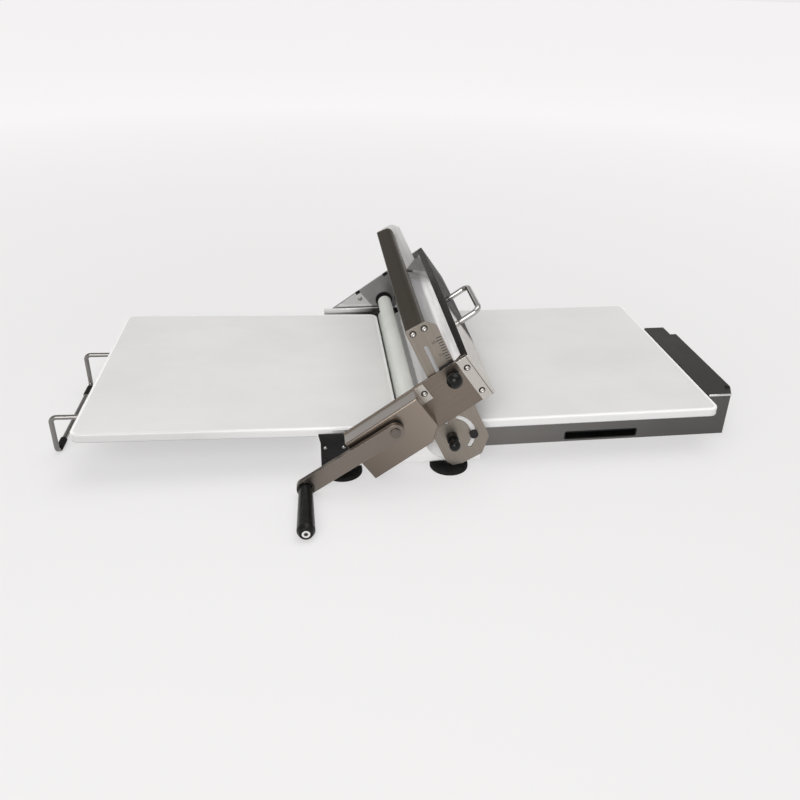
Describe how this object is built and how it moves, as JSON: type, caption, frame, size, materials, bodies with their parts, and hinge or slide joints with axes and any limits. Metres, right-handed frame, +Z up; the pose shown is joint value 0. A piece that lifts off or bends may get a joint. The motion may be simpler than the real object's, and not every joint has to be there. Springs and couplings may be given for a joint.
{
  "type": "manual dough sheeter",
  "caption": "Tabletop hand-cranked dough sheeter: two white boards, a tilting slotted yoke with a lifting geared roller head, wire leg and steel tray.",
  "frame": {"origin": "on the bench, under the middle of the overall size", "axes": "+X along the dough path towards the tray end, +Y away from the crank side, +Z up"},
  "size_m": [1.0164, 0.584, 0.2323],
  "materials": {
    "steel_sheet": "fine brushed stainless sheet",
    "machined_steel": "turned and milled steel",
    "polished_sheet": "polished stainless sheet",
    "bright_rod": "bright round bar",
    "white_board": "satin food-grade plastic",
    "roller_plastic": "smooth food-grade plastic",
    "black_plastic": "moulded black plastic",
    "black_steel": "black coated steel",
    "black_rubber": "matt black rubber"
  },
  "bodies": {
    "base": {"base_channel": "steel_sheet", "foot_near_left": "black_rubber", "foot_near_right": "black_rubber", "foot_far_left": "black_rubber", "foot_far_right": "black_rubber", "end_bracket_near": "black_steel", "end_bracket_far": "black_steel", "left_board": "white_board", "right_board": "white_board", "cross_rail_left": "steel_sheet", "cross_rail_right": "steel_sheet", "right_tray": "steel_sheet", "hand_pocket": "black_plastic", "guide_tube_near": "steel_sheet", "guide_tube_far": "steel_sheet", "lower_bush_near": "black_plastic", "lower_bush_far": "black_plastic", "pivot_stud_near": "machined_steel", "pivot_stud_far": "machined_steel", "guide_bolt_near": "black_steel", "guide_bolt_far": "black_steel"},
    "wire_leg": {"wire_leg": "bright_rod", "leg_sleeve_near": "black_rubber", "leg_sleeve_far": "black_rubber"},
    "lower_roller": {"lower_roller": "roller_plastic", "lower_shaft": "machined_steel"},
    "yoke": {"arm_near": "steel_sheet", "arm_far": "steel_sheet", "crossbar": "steel_sheet"},
    "head": {"side_plate_near": "steel_sheet", "side_plate_far": "steel_sheet", "gear_box": "steel_sheet", "right_cover": "steel_sheet", "hood": "polished_sheet", "d_handle": "bright_rod", "guide_pin_near_low": "machined_steel", "guide_pin_near_high": "machined_steel", "guide_pin_far_low": "machined_steel", "guide_pin_far_high": "machined_steel", "upper_bush_near": "black_plastic", "upper_bush_far": "black_plastic", "crank_bush_inner": "black_plastic", "crank_bush_outer": "black_plastic"},
    "upper_roller": {"upper_roller": "roller_plastic", "upper_shaft": "machined_steel", "roller_gear": "machined_steel"},
    "crank": {"crank_shaft": "machined_steel", "crank_pinion": "machined_steel", "crank_arm": "steel_sheet", "grip_pin": "machined_steel"},
    "grip": {"crank_grip": "black_plastic"},
    "lift_knob": {"lift_screw": "machined_steel", "lift_ball": "black_plastic"},
    "tilt_knob": {"tilt_hub": "machined_steel", "tilt_ball": "black_plastic"}
  },
  "joints": [
    {"name": "leg_slide", "type": "slide", "parent": "base", "child": "wire_leg", "axis": [-0.9996, 0, 0.0276], "range_m": [-0.04, 0.02]},
    {"name": "lower_roller_spin", "type": "hinge", "parent": "base", "child": "lower_roller", "pos_m": [0.00049, 0.061, 0.05783], "axis": [0, 1, 0], "continuous": true},
    {"name": "yoke_tilt", "type": "hinge", "parent": "base", "child": "yoke", "pos_m": [0.0547, 0.061, 0.0563], "axis": [0, 1, 0], "range_deg": [0, 30]},
    {"name": "head_lift", "type": "slide", "parent": "yoke", "child": "head", "axis": [-0.4226, 0, 0.9063], "range_m": [-0.004, 0.03]},
    {"name": "upper_roller_spin", "type": "hinge", "parent": "head", "child": "upper_roller", "pos_m": [0.00049, 0.061, 0.08682], "axis": [0, 1, 0], "continuous": true},
    {"name": "crank_turn", "type": "hinge", "parent": "head", "child": "crank", "pos_m": [-0.02901, -0.1895, 0.09229], "axis": [0, 1, 0], "continuous": true},
    {"name": "grip_spin", "type": "hinge", "parent": "crank", "child": "grip", "pos_m": [-0.1494, -0.239, 0.01237], "axis": [0, 1, 0], "continuous": true},
    {"name": "lift_knob_turn", "type": "hinge", "parent": "head", "child": "lift_knob", "pos_m": [0.05045, -0.16, 0.15617], "axis": [0, -1, 0], "range_deg": [0, 180]},
    {"name": "tilt_knob_turn", "type": "hinge", "parent": "base", "child": "tilt_knob", "pos_m": [0.0547, -0.1565, 0.0563], "axis": [0, -1, 0], "range_deg": [0, 180]}
  ],
  "couplings": [
    {"joint": "crank_turn", "follows": "upper_roller_spin", "ratio": -1.5}
  ]
}
